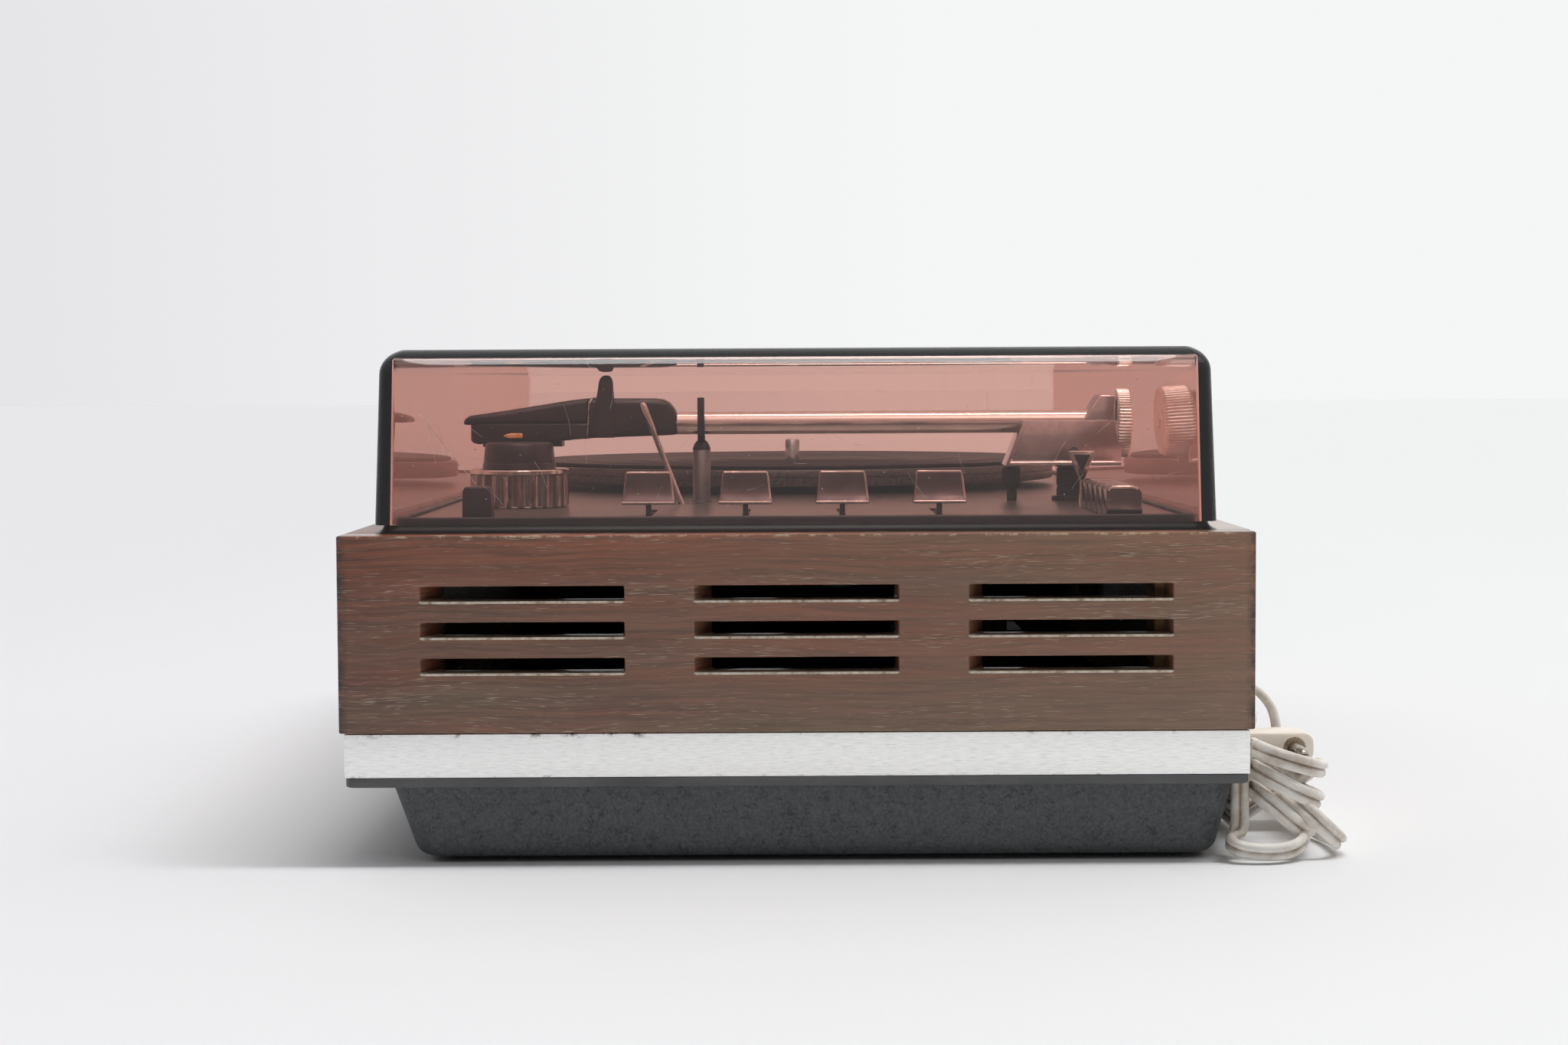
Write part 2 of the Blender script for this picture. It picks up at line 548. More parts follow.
ends = []
for side, limit in ((x, half_w / 1000), (y, half_d / 1000)):
    span = add(tree, "Math", (side,), operation="ABSOLUTE")
    ends.append(add(tree, "MapRange", (span, limit - 0.004, limit - 0.0005)))
corner = add(tree, "Math", (ends[0], ends[1]), operation="MULTIPLY")
worn = add(tree, "MapRange", (scuff, 0.38, 0.6, 0.15, 0.95))
corner = add(tree, "Math", (corner, worn), operation="MULTIPLY")
for layer, code in ((shade, "#472f24"), (hair, "#a07b65"), (bleach, "#a98a70"), (filled, "#c2ae97"),
                    (chip, "#c8b193"), (corner, "#231913")):
    tone = add(tree, "Mix", {"Factor": layer, 6: tone, 7: code}, out=2, data_type="RGBA")
below = add(tree, "MapRange", (z, 0.12, 0.119))
lip = add(tree, "MapRange", (facing, 0.2, 0.5))
dust = add(tree, "Math", (lip, below), operation="MULTIPLY")
dust = add(tree, "Math", (dust, 0.85), operation="MULTIPLY")
add(tree, "Mix", {"Factor": dust, 6: tone, 7: "#e2d7c6"}, out=2, into=shader["Base Color"], data_type="RGBA")
relief = add(tree, "Math", (threads, pore), operation="SUBTRACT")
add(tree, "Bump", {"Height": relief, "Strength": 0.25, "Distance": 0.00012}, into=shader["Normal"])
add(tree, "MapRange", (lines, 0, 1, 0.46, 0.3), into=shader["Roughness"])


def slotted_panel(bm, side):
    """One end panel: a grid of cells on its outer and inner face, with walls through the open ones."""
    cuts, deep = [-half_d], [-half_d]
    for column in (-1, 0, 1):
        for end, slope in ((-1, slot_ramp), (1, slot_step)):
            cuts.append(column * slot_col + end * slot_len / 2)
            deep.append(column * slot_col + end * (slot_len / 2 - slope))
    cuts, deep, levels = cuts + [half_d], deep + [half_d], [z_wood]
    for row in (-1, 0, 1):
        levels += [slot_mid + row * slot_pitch - slot_h / 2, slot_mid + row * slot_pitch + slot_h / 2]
    levels.append(z_top)
    faces = ((side * half_w, cuts), (side * (half_w - panel_t), deep))
    outer, inner = ([[bm.verts.new((x, y, z)) for z in levels] for y in places] for x, places in faces)

    def wall(i, j, k, m):
        bm.faces.new((outer[i][j], outer[k][m], inner[k][m], inner[i][j]))

    last = len(levels) - 1
    for i in range(last):
        for j in range(last):
            if i % 2 and j % 2:
                round_it = ((i, j), (i + 1, j), (i + 1, j + 1), (i, j + 1), (i, j))
                for a, b in zip(round_it, round_it[1:]):
                    wall(*a, *b)
            else:
                for grid in (outer, inner):
                    bm.faces.new((grid[i][j], grid[i + 1][j], grid[i + 1][j + 1], grid[i][j + 1]))
        for edge in ((i, 0, i + 1, 0), (i, last, i + 1, last), (0, i, 0, i + 1), (last, i, last, i + 1)):
            wall(*edge)


# Bare veneer core: pale, dry and broken, where the lower edges of the slots have worn.
worn_core = mottled("worn_veneer_edge", {"Roughness": 0.8, "Specular IOR Level": 0.2}, 3.85, 4,
                    ((0.34, "#a08a75"), (0.48, "#d6c8b6"), (0.7, "#efe7db")), rough=0.7)
for name, side in (("right_end_panel", 1), ("left_end_panel", -1)):
    bm = bmesh.new()
    slotted_panel(bm, side)
    soften(bm, 0.7)
    piece(name, bm, walnut, "cabinet", "walnut_veneer", "side_panels")
    bm = bmesh.new()
    for spot in range(9):
        y, z = slot_col * (spot % 3 - 1), slot_mid + slot_pitch * (spot // 3 - 1) - slot_h / 2
        block(bm, (side * (half_w - 1.2), y - slot_len / 2 + 0.5, z - 0.7),
              (side * (half_w + 0.05), y + slot_len / 2 - 0.5, z + 0.15))
    soften(bm, 0.1)
    piece(name + "_slot_wear", bm, worn_core, "cabinet", "walnut_veneer")
bm = bmesh.new()
block(bm, (-half_w + panel_t, -half_d, z_wood), (half_w - panel_t, -half_d + panel_t, z_top))
soften(bm, 0.7)
piece("front_board", bm, walnut, "cabinet", "walnut_veneer", "front_panel")
dress(walnut, "rear_panel")

# Screws: countersunk wood screws, zinc plated, which hold the tray to the plinth and the deck to
# the corner blocks.
# Zinc plate: grey and cloudy, bright in patches.
zinc = mottled("zinc_plated_steel", {"Metallic": 1.0}, 3.85, 4,
               ((0.35, "#7d7f80"), (0.65, "#b4b5b3")), gloss=(0.5, 0.3))
dress(zinc, "screws", "pivot_forks", "key_switches", "selector_switch", "slider_pots")

# Socket plate: a black moulded plate set in the rear panel, with five round sockets, each a metal
# ring round a dark insert with contact holes.
# Black ABS, moulded: satin, with a soft sheen and a greyish film of handling.
black_abs = mottled("satin_black_abs", {"Specular IOR Level": 0.45}, 14.3, 5,
                    ((0.3, "#141314"), (0.7, "#2b2928")), rough=0.65, gloss=(0.45, 0.25))
dress(black_abs, "socket_plate")
socket_mid, socket_pitch, socket_z, contact_r = -70, 30, 86.45, 3.6
bm_ring, bm_hole = bmesh.new(), bmesh.new()
for i in range(-2, 3):
    socket_x = socket_mid + socket_pitch * i
    turned(bm_ring, ((165.6, 6.9), (167.4, 6.9), (167.7, 6.6), (167.7, 6.1), (167.3, 5.8), (165.6, 5.8)),
           (socket_x, 0, socket_z), "Y", closed=True)
    for k in range(5):
        a = math.pi * (1 + k / 4)
        spot = (socket_x + contact_r * math.cos(a), 0, socket_z + contact_r * math.sin(a))
        turned(bm_hole, ((165.4, 0.9), (165.9, 0.9), (166.0, 0.7), (165.7, 0.4)), spot, "Y", 16)
piece("socket_rings", bm_ring, zinc, "cabinet", "screw_steel")
piece("socket_contacts", bm_hole, pin_steel, "cabinet", "screw_steel")

# Deck frame: a black moulded frame glued on the cabinet. Its foot flares out over the wood, the
# cover stands on its shoulder, and a lip inside keeps the cover in place.
frame_profile = (
    (258.6, 157.6, 123.02), (257.5, 156.5, 123.5), (256.4, 155.4, 124.3), (255.8, 154.8, 125.2),
    (255.6, 154.6, 126.2), (252, 150.5, 126.2), (252, 150.5, 128.2), (251.5, 150, 128.7), (249.5, 148, 128.7),
    (249, 147.5, 128.2), (249, 147.5, 126.15), (245, 143.5, 126.15), (245, 143.5, 123.02))
bm = bmesh.new()
skin(bm, [rounded(a, b, 7, z) for a, b, z in frame_profile], closed=True)
piece("flared_deck_frame", bm, black_abs, "cabinet", "black_plastic", "deck_frame")

# Deck panel: pressed steel sheet lacquered in satin silver, with openings for the controls,
# dropped inside the lip.
# Silver lacquer, sprayed: mid grey with fine flake, a soft gloss and a thin film of dust.
deck_steel, tree, shader = surface("satin_silver_lacquer", {"Metallic": 0.85})
place = add(tree, "TexCoord", out="Object")
flake = add(tree, "TexNoise", {"Vector": place, "Scale": 1000 / 0.6, "Detail": 2.0})
dusty = add(tree, "TexNoise", {"Vector": place, "Scale": 1000 / 28.6, "Detail": 5.0, "Roughness": 0.6})
tone = add(tree, "ValToRGB", {"Fac": flake}, stops=((0.35, "#6a6765"), (0.65, "#7d7a77")))
film = add(tree, "MapRange", (dusty, 0, 1, 0, 0.4))
add(tree, "Mix", {"Factor": film, 6: tone, 7: "#67615c"}, out=2, into=shader["Base Color"], data_type="RGBA")
add(tree, "MapRange", (dusty, 0, 1, 0.25, 0.33), into=shader["Roughness"])
add(tree, "Bump", {"Height": flake, "Strength": 0.08, "Distance": 0.0001}, into=shader["Normal"])
dress(deck_steel, "deck_panel")

# Bearing and spindle: a bronze bush hung from the deck, and a ground steel spindle with a
# chamfered top.
# Sintered bronze, pressed: dull brown-gold, speckled by its pores.
bronze = mottled("sintered_bronze", {"Metallic": 1.0, "Roughness": 0.4}, 1.25, 3,
                 ((0.35, "#7d6a4b"), (0.65, "#b29c70")))
dress(bronze, "bearing_housing", "motor_pulley")
platter_x = -98.0
bm = bmesh.new()
turned(bm, ((93.4, 3.6), (94, 4), (138.7, 4), (138.8, 3.6), (149.2, 3.6), (149.7, 3.3), (149.9, 2.8)),
       (platter_x, 0, 0), sides=40)
piece("ground_spindle", bm, zinc, "turntable", "bearing_metal", "spindle")

# Platter: a die-cast zinc plate with a deep rim, turned true and painted dark grey, which the
# idler drives inside.
# Painted casting: dark grey with a fine speckle and a low sheen.
cast = mottled("painted_die_cast_zinc", {"Metallic": 0.3}, 1.43, 3,
               ((0.35, "#3e3b3a"), (0.7, "#5a5654")), gloss=(0.4, 0.28))
bm = bmesh.new()
turned(bm, ((130.7, 4.02), (130.7, 14), (134.2, 14), (134.2, 125), (130.9, 125), (130.7, 125.3),
            (130.7, 132), (131, 132.7), (131.7, 133), (134.6, 133), (134.8, 132.6), (135.2, 132.6),
            (135.4, 133), (137.8, 133), (138.5, 132.7), (138.8, 132), (138.8, 4.02)),
       (platter_x, 0, 0), sides=160, closed=True)
piece("turned_platter", bm, cast, "turntable", "platter_metal", "platter")

# Mat: a moulded rubber disc with raised rings that carry the record. It lies loose on the platter
# and turns with it.
# Mat rubber, moulded: black and dull, greyed a little by dust.
mat_rubber = mottled("ribbed_mat_rubber", {"Specular IOR Level": 0.22}, 22.2, 5,
                     ((0.3, "#161516"), (0.7, "#2a2828")), rough=0.6, gloss=(0.38, 0.55))
profile = [(138.8, 3.9), (138.8, 130.6), (139.2, 131), (140.3, 131), (140.6, 130.6), (140.6, 128)]
for r in (104, 80, 56, 34):
    profile += [(140.1, r + 20), (140.1, r + 4), (140.6, r + 3.2), (140.6, r)]
profile += [(140.1, 30), (140.1, 3.9)]
bm = bmesh.new()
turned(bm, profile, (platter_x, 0, 0), sides=160, closed=True)
piece("ringed_mat", bm, mat_rubber, "turntable", "mat_rubber", "platter_mat")

# Drive: a shaded-pole motor in a steel can under the deck, a bronze pulley on its shaft, and a
# rubber-tyred idler between the pulley and the platter's rim.
# Steel, deep drawn: mid grey, smeared bright and dull by the tool.
can = mottled("drawn_steel_can", {"Metallic": 1.0}, 16.7, 4,
              ((0.3, "#5f6062"), (0.7, "#8a8b8d")), gloss=(0.55, 0.3))
dress(can, "motor", "arm_yoke")
idler_x, idler_y = -186.94, 51.35
bm = bmesh.new()
turned(bm, ((118.2, 1.7), (118.4, 2), (128.8, 2), (128.8, 15), (129.2, 16), (129.2, 19), (128.8, 20),
            (128.8, 21.6), (129.2, 22), (133, 22), (133.4, 21.6), (133.4, 20), (132.8, 19), (132.8, 7),
            (133.4, 6), (133.4, 1.5)), (idler_x, idler_y, 0), sides=72)
piece("tyred_idler", bm, rubber, "idler", "rubber_black", "idler_wheel")

# Arm column: a black turned post on a flange, nutted under the deck, in which the arm's yoke
# turns.
arm_x, arm_y, arm_z, tip_y = 100.0, 120.0, 161.2, -142.1
bm = bmesh.new()
turned(bm, ((119.2, 3.1), (119.2, 4.7), (119.6, 5), (122.2, 5), (122.2, 7.4), (126.2, 7.4), (126.2, 5),
            (127.2, 5), (127.2, 8), (128.8, 8), (129.2, 7.6), (129.2, 5.95), (132.6, 5.95), (132.9, 5.6),
            (133.5, 5.6), (133.8, 5.95), (141, 5.95), (141.4, 5.5), (141.4, 3.1)),
       (arm_x, arm_y, 0), closed=True)
piece("turned_column", bm, black_abs, "cabinet", "arm_plastic", "arm_column")

# Arm bracket: stamped and folded from sheet, two side plates with rolled lower lips and a raked
# front.
# Burnished nickel: bright and smooth, so that flat faces show the dim room and only the edges and
# tops shine.
burnished = mottled("burnished_nickel_plate", {"Metallic": 1.0}, 7.14, 5,
                    ((0.3, "#c9c3c4"), (0.7, "#e6e1e1")), rough=0.65, gloss=(0.24, 0.14))
bracket_z, bracket_top, plate_in, plate_out, lip_off = 142.5, 161.7, 10.6, 11.8, 12.7
bm = bmesh.new()
plate = ((93.3, bracket_z), (140.6, bracket_z), (140.6, bracket_top), (100.5, bracket_top))
front = ((91, bracket_z), (94.5, bracket_z), (101.7, bracket_top), (99, bracket_top))
for s in (-1, 1):
    slab(bm, plate, *sorted((arm_x + s * plate_in, arm_x + s * plate_out)))
slab(bm, front, arm_x - plate_in, arm_x + plate_in)
soften(bm, 0.25)
for s in (-1, 1):
    turned(bm, ((92.6, 0.7), (93, 1), (140.2, 1), (140.6, 0.7)),
           (arm_x + s * lip_off, 0, bracket_z + 1), "Y", 16)
piece("folded_bracket", bm, burnished, "arm", "arm_nickel", "arm_bracket")

# Arm tube: drawn steel tube, nickelled, pushed into the socket in front and held in the weight
# behind, so that it joins the arm.
# Bright nickel: pale and warm, drawn smooth, with faint haze and long highlights.
nickel = mottled("bright_nickel_plate", {"Metallic": 1.0}, 8.33, 5,
                 ((0.3, "#e0dad4"), (0.6, "#efebe6"), (0.75, "#f6f3ef")), rough=0.65, gloss=(0.24, 0.08))
dress(nickel, "arm_tube")

# Arm socket: moulded in black-brown plastic, split from the headshell by a bright collar, with an
# upright finger lift.
# Brown-black ABS, moulded: nearly black with a warm cast and a soft gloss.
shell_plastic = mottled("moulded_brown_black_abs", {"Specular IOR Level": 0.5}, 11.1, 5,
                        ((0.3, "#1d1718"), (0.7, "#342a2a")), rough=0.65, gloss=(0.42, 0.24))


def along_arm(bm, stations, radius):
    """A moulded form along the arm from (place from its tip, half width, low, high)."""
    rings = []
    for y, half, low, high in stations:
        r = min(radius, half * 0.9, (high - low) * 0.45)
        rings.append(rounded((high - low) / 2, half, r, tip_y + y, (arm_z + (low + high) / 2, arm_x), "Y"))
    skin(bm, rings)


bm = bmesh.new()
along_arm(bm, ((53.7, 9, -6.0, 10.8), (54.4, 9, -6.1, 10.9), (82, 9, -5.2, 10.7), (86, 8.8, -5.1, 10.2),
               (88.5, 8.3, -5, 8.8), (90.3, 7.4, -4.9, 6.6), (91.4, 6.4, -4.7, 4.8),
               (91.7, 5.6, -4.4, 4.2)), 2.6)
rings = []
for z, y0, y1, x in (
        (-5.9, 57.6, 65, 9.2), (10.2, 57.2, 65, 9.2), (11.4, 57.4, 64.9, 9.1), (14.5, 58, 64.7, 8.9),
        (17.6, 58.4, 64.5, 8.9), (19.2, 59, 64.1, 9.2), (20.2, 60, 63.4, 9.6), (20.6, 61, 62.6, 9.9)):
    rings.append([Vector((arm_x + x + dx, tip_y + y, arm_z + z)) for dx, y in
                  ((-0.7, y0), (0.4, y0), (0.8, y0 + 0.5), (0.8, y1 - 0.5), (0.4, y1), (-0.7, y1))])
skin(bm, rings)
piece("socket_with_lift", bm, shell_plastic, "arm", "arm_plastic", "arm_socket")
bm = bmesh.new()
along_arm(bm, ((53.0, 9.2, -6.2, 11), (53.15, 9.45, -6.4, 11.25), (53.6, 9.45, -6.4, 11.25),
               (53.75, 9.2, -6.2, 11)), 2.8)
for vert in bm.verts:
    vert.co.y += 0.065 * max(0.0, vert.co.z - arm_z - 5) ** 2
piece("socket_collar", bm, pin_steel, "arm", "arm_nickel")

# Headshell: a wedge-shaped hood moulded in the same plastic and pushed up to the collar, its
# lower edge open for the cartridge.
bm = bmesh.new()
along_arm(bm, ((0.1, 7.4, 0.1, 1.6), (0.8, 8.4, -0.1, 2.5), (2.6, 9.2, -0.2, 3.7), (17.7, 9.5, -0.2, 5.8),
               (36, 9.5, -0.2, 8.6), (46, 9.5, -0.2, 10.1), (53.1, 9.5, -0.2, 10.9)), 2.4)
along_arm(bm, ((3.1, 7.6, -6.9, 0.4), (3.9, 8.2, -7.7, 0.4), (6.1, 8.7, -8.4, 0.4), (33, 8.7, -7.6, 0.4),
               (46, 8.7, -6.9, 0.4)), 0.9)
along_arm(bm, ((45.6, 9.0, -6.7, 0.4), (46.2, 9.5, -6.7, 0.4), (53.1, 9.5, -6.3, 0.4)), 1.2)
piece("wedge_headshell", bm, shell_plastic, "arm", "arm_plastic", "headshell")
dress(black_abs, "cartridge")

# Stylus lever: a bright orange flip lever at the cartridge's side, moulded in polystyrene, with
# the needle's holder under it.
# Polystyrene, moulded: bright pale orange, glossy and even.
orange = mottled("orange_polystyrene", {"Roughness": 0.3, "Coat Weight": 0.2}, 3.33, 3,
                 ((0.35, "#cf8a55"), (0.65, "#e8ae80")))
bm = bmesh.new()
along_arm(bm, ((17.4, 9.4, -5.3, -4.7), (18.8, 9.8, -5.8, -4.1), (20.4, 10.1, -6, -3.8),
               (24.9, 10.1, -6, -3.8), (25.4, 9.9, -5.7, -4.1)), 0.5)
turned(bm, ((-12, 0.35), (-11, 0.6), (-9.8, 1.9), (-9.5, 2)), (arm_x, tip_y + 20.7, arm_z), sides=20)
piece("stylus_lever", bm, orange, "arm", "orange_plastic", "stylus")

# Rear weight: a chamfered cast block, plated and burnished like the bracket, with the stub for
# the tracking wheel.
bm = bmesh.new()
outline = ((5.2, -5.2), (18.4, -5.2), (18.4, 11.3), (11.5, 11.3), (5.2, 1.3))
slab(bm, outline, -9.8, 9.8, (arm_x, arm_y, arm_z))
soften(bm, 0.8, 3)
wheel_z = arm_z - 0.7
turned(bm, ((138, 3), (145.6, 3), (145.9, 2.6)), (arm_x, 0, wheel_z), "Y", 32)
piece("chamfered_weight", bm, burnished, "arm", "arm_plastic", "rear_weight")

# Tracking wheel: a nickelled thumb wheel with a straight-knurled rim, turned to set the needle's
# force.
# Satin nickel: pale and even, blasted before it was plated, so that every ridge takes some of the
# light above.
satin = mottled("satin_nickel_plate", {"Metallic": 1.0}, 1.5, 3,
                ((0.35, "#f0eae4"), (0.65, "#fdfaf6")), gloss=(0.36, 0.24))
bm = bmesh.new()
grooves, per_groove = 64, 4
turned(bm, ((138.8, 3.1), (138.8, 11.5), (139.3, 12.5), (139.1, 13.6), (139.4, 14.3, 0.15),
            (139.8, 14.75, 0.6), (144.5, 14.75, 0.6), (145.2, 14.1, 0.15), (145.4, 13.6), (145.1, 12.5),
            (145.1, 5.5), (145.4, 5), (145.4, 3.1)),
       (arm_x, 0, wheel_z), "Y", grooves * per_groove, closed=True, per_cut=per_groove, power=2)
piece("knurled_wheel", bm, satin, "wheel", "arm_nickel", "tracking_wheel", sharp=30)

# Arm rest: a turned metal post fixed in the deck, with a coned black cap and a moulded upright
# strip beside the tube.
rest_y = tip_y + 102.1
bm = bmesh.new()
turned(bm, ((120.2, 2.7), (120.5, 3), (127.2, 3), (127.2, 4.6), (127.9, 4.6), (128.2, 3.85), (149.4, 3.85),
            (149.9, 3.6)), (arm_x, rest_y, 0))
piece("rest_post", bm, can, "cabinet", "arm_nickel", "arm_rest_post")
bm = bmesh.new()
turned(bm, ((149.8, 3.9), (150.4, 3.9), (152.4, 3.1), (153.6, 2.1), (153.9, 1.6)), (arm_x, rest_y, 0))
piece("rest_cap", bm, black_abs, "cabinet", "arm_plastic", "arm_rest_post")
bm = bmesh.new()
block(bm, (arm_x - 4, rest_y - 1.5, 153.8), (arm_x + 7.3, rest_y + 1.5, 156.1))
block(bm, (arm_x + 5.3, rest_y - 1.5, 153.8), (arm_x + 7.3, rest_y + 1.5, 172.2))
soften(bm, 0.35)
piece("rest_strip", bm, black_abs, "cabinet", "arm_plastic", "arm_rest_clip")

# Cue lever: a slim chromed rod with a rounded end on a hub under the deck, which raises and
# lowers the lift pad.
# Bright chrome: a mirror with a faint haze, which shows the room as light and dark bands.
chrome = mottled("bright_chrome_plate", {"Metallic": 1.0}, 6.67, 5,
                 ((0.3, "#c8c4c0"), (0.6, "#e6e3e0")), rough=0.6, gloss=(0.2, 0.06))
lever_hub = ((-2.6, 1.1), (-2.6, 2.7), (-2.3, 3), (2.3, 3), (2.6, 2.7), (2.6, 1.1))
cue_pivot, cue_lean = (116, rest_y - 4.7, 118), math.radians(21)
bm = bmesh.new()
turned(bm, ((0, 1.3), (24, 1.25), (42, 1.15), (42.6, 1.45), (54.6, 1.45), (55.6, 1.1), (56, 0.5)), sides=24)
turned(bm, lever_hub, (0, 0, 0), "X", 32, closed=True)
bm.transform(Matrix.Translation(cue_pivot) @ Matrix.Rotation(cue_lean, 4, "X"))
piece("cue_rod", bm, chrome, "cue", "arm_nickel", "cue_lever")
bm = bmesh.new()
turned(bm, ((118.2, 1.9), (118.5, 2.2), (132.6, 2.2), (132.7, 3.2), (133.6, 3.9), (135, 4.2), (141.2, 4.2),
            (141.9, 3.6)), (arm_x, arm_y - 25.4, 0))
piece("lift_pad", bm, black_abs, "lifter", "arm_plastic", "lift_post")

# Function knob: a fluted drum in dark chrome with a bright rim, and a dark pressed-in cap whose
# shaft turns the switch.
# Dark chrome: nearly black between the lights, with narrow bright streaks down the flutes.
dark_chrome = mottled("dark_chrome_plate", {"Metallic": 1.0}, 5.88, 5,
                      ((0.3, "#7b7776"), (0.65, "#aca8a5")), rough=0.6, gloss=(0.2, 0.08))
knob_x, knob_y, flutes, per_flute = 136.0, -115.3, 24, 10
bm = bmesh.new()
turned(bm, ((127.6, 3.1), (127.6, 19.8), (128, 20.5, 1.1), (140.7, 20.5, 1.3), (141.1, 20.3), (142, 20.3),
            (142, 17.4), (142.8, 17.4), (142.8, 3.1)),
       (knob_x, knob_y, 0), "Z", flutes * per_flute, closed=True,
       per_cut=per_flute, power=0.5, shift=per_flute / 2)
piece("fluted_drum", bm, dark_chrome, "function_knob", "knob_chrome", "knob_drum", sharp=28)
bm = bmesh.new()
turned(bm, ((141.1, 17.5), (141.1, 20.4), (141.4, 20.7), (142.6, 20.7), (143, 20.4), (143.2, 19.8),
            (142.8, 17.5)), (knob_x, knob_y, 0), sides=96, closed=True)
piece("drum_rim", bm, chrome, "function_knob", "knob_chrome", "knob_drum")
bm = bmesh.new()
turned(bm, ((115.2, 2.8), (115.4, 3), (142.7, 3), (142.7, 15.4), (145.4, 15.2), (145.7, 14.8),
            (146.4, 14.9), (153, 14.2), (153.8, 13.8), (154.2, 13.1), (154.0, 12.2), (153.7, 4)),
       (knob_x, knob_y, 0), sides=72)
piece("knob_button", bm, shell_plastic, "function_knob", "knob_chrome", "knob_cap")

# Sliders: four metal-faced caps, hollowed for the finger on both sides and cut bright along their
# edges, on flat black stems of slide potentiometers.
# Gunmetal plate: darker than the nickel and glossy, so that only rims and corners shine.
gunmetal = mottled("gunmetal_plate", {"Metallic": 1.0}, 6.67, 5,
                   ((0.3, "#757074"), (0.7, "#979194")), rough=0.65, gloss=(0.2, 0.1))
slider_x, slider_mid, slider_pitch = 215.0, -0.5, 37.6
bead = [(math.cos(math.pi * k / 6), math.sin(math.pi * k / 6)) for k in range(12)]


def bright_edge(name, line, radius, body):
    """A bead of bright metal along the cut edge of a slider or key."""
    bm = bmesh.new()
    sweep(bm, line, [sideways] * len(line), [(radius * w, radius * h) for w, h in bead])
    piece(name, bm, chrome, body, "key_metal", sharp=60)


for i in range(4):
    body, node, y = f"slider_body_{i + 1}", f"slider_{i + 1}", slider_mid + (i - 1.5) * slider_pitch
    bm = bmesh.new()
    rings = []
    for z, half_y, half_x, corner in (
            (131.5, 9.7, 3.6, 0.9), (131.7, 10.3, 4.3, 1.1), (132.3, 10.5, 4.6, 1.2),
            (133.1, 10.35, 4.4, 1.2), (134, 10.0, 3.8, 1.2), (136, 9.75, 3.3, 1.2), (139, 9.4, 2.9, 1.2),
            (142, 9.1, 2.8, 1.2), (143.4, 8.9, 2.9, 1.2), (144, 8.6, 2.7, 1.1), (144.3, 8.0, 2.1, 0.8)):
        rings.append(rounded(half_x, half_y, corner, z, (slider_x, y)))
    skin(bm, rings)
    piece(f"slider_cap_{i + 1}", bm, gunmetal, body, "key_metal", node)
    bm = bmesh.new()
    block(bm, (slider_x - 2.5, y - 1, 117.2), (slider_x + 2.5, y + 1, 132.4))
    soften(bm, 0.2)
    piece(f"slider_stem_{i + 1}", bm, black_abs, body, "black_plastic", node)
    rim = [Vector((slider_x + half_x - 0.3, y + half_y - 0.35, z)) for z, half_y, half_x in (
        (143.9, 8.6, 2.7), (142, 9.1, 2.8), (139, 9.4, 2.9), (136, 9.75, 3.3), (134, 10, 3.8),
        (132.4, 10.5, 4.6))]
    first, last = (Vector((p.x, 2 * y - p.y, p.z)) for p in (rim[0], rim[-1]))
    bright_edge(f"slider_rim_{i + 1}", [first, *rim, last], 0.45, body)

# Keys: five push keys with metal-faced tops, rounded to the rear and cut bright along the upper
# edge, on round stems over a bank of switches.
key_y, z_deck, key_first, key_pitch, key_half = 124.0, 127.2, 236, 15.7, 6.8
key_stem = ((-16, 1.7), (-15.7, 2), (-3.6, 2))
for i in range(5):
    x, body = key_first - key_pitch * i, f"key_body_{i + 1}"
    bm = bmesh.new()
    outline = ((-6.8, -4), (6.8, -4), (6.8, 8.5), (6.4, 9.7), (5.6, 10.8), (4.6, 11.5), (3.4, 11.8),
               (-4.8, 11.8), (-6.2, 11.2), (-6.8, 10.2))
    slab(bm, outline, -key_half, key_half, (x, key_y, z_deck))
    soften(bm, 0.5, 3, 40)
    turned(bm, key_stem, (x, key_y, z_deck), sides=24)
    piece(f"push_key_{i + 1}", bm, gunmetal, body, "key_metal", f"key_{i + 1}")
    rim = [Vector((x + 6.1, key_y + y, z_deck + z)) for y, z in (
        (-6, 9.9), (-5.5, 10.7), (-4.6, 11.1), (3.3, 11.1), (4.3, 10.85), (5.1, 10.3))]
    bright_edge(f"key_rim_{i + 1}", rim, 0.8, body)

# Power key: one smaller key near the front corner, moulded in brown-black plastic in one with its
# stem, which works the mains switch below.
power_at = (235, -120.6, z_deck)
bm = bmesh.new()
outline = ((-5.7, -4), (5.7, -4), (5.4, 10.8), (4.5, 12.4), (-4.5, 12.4), (-5.4, 10.8))
slab(bm, outline, -5.1, 5.1, power_at)
soften(bm, 0.5, 3)
turned(bm, key_stem, power_at, sides=24)
piece("power_button_key", bm, shell_plastic, "power_button", "key_metal", "power_key")

# Paddle lever: a chromed V-shaped handle with a dark inlay, on a rod that tilts in a fork under
# the deck.
paddle_at = (150.0, 119.0, 118.0)
bm = bmesh.new()
handle = ((-1, 19.8), (1, 19.8), (5.6, 31.3), (5.1, 31.8), (-5.1, 31.8), (-5.6, 31.3))
slab(bm, handle, -1.3, 1.3, paddle_at)
soften(bm, 0.3)
turned(bm, ((0, 1.3), (12, 1.2), (16, 0.8), (20.6, 0.8)), paddle_at, sides=24)
turned(bm, lever_hub, paddle_at, "X", 32, closed=True)
piece("v_paddle", bm, chrome, "paddle", "key_metal", "paddle_lever")
bm = bmesh.new()
slab(bm, ((0, 22.6), (3.4, 30.2), (-3.4, 30.2)), -1.45, 1.45, paddle_at)
soften(bm, 0.12)
piece("paddle_inlay", bm, black_abs, "paddle", "black_plastic")

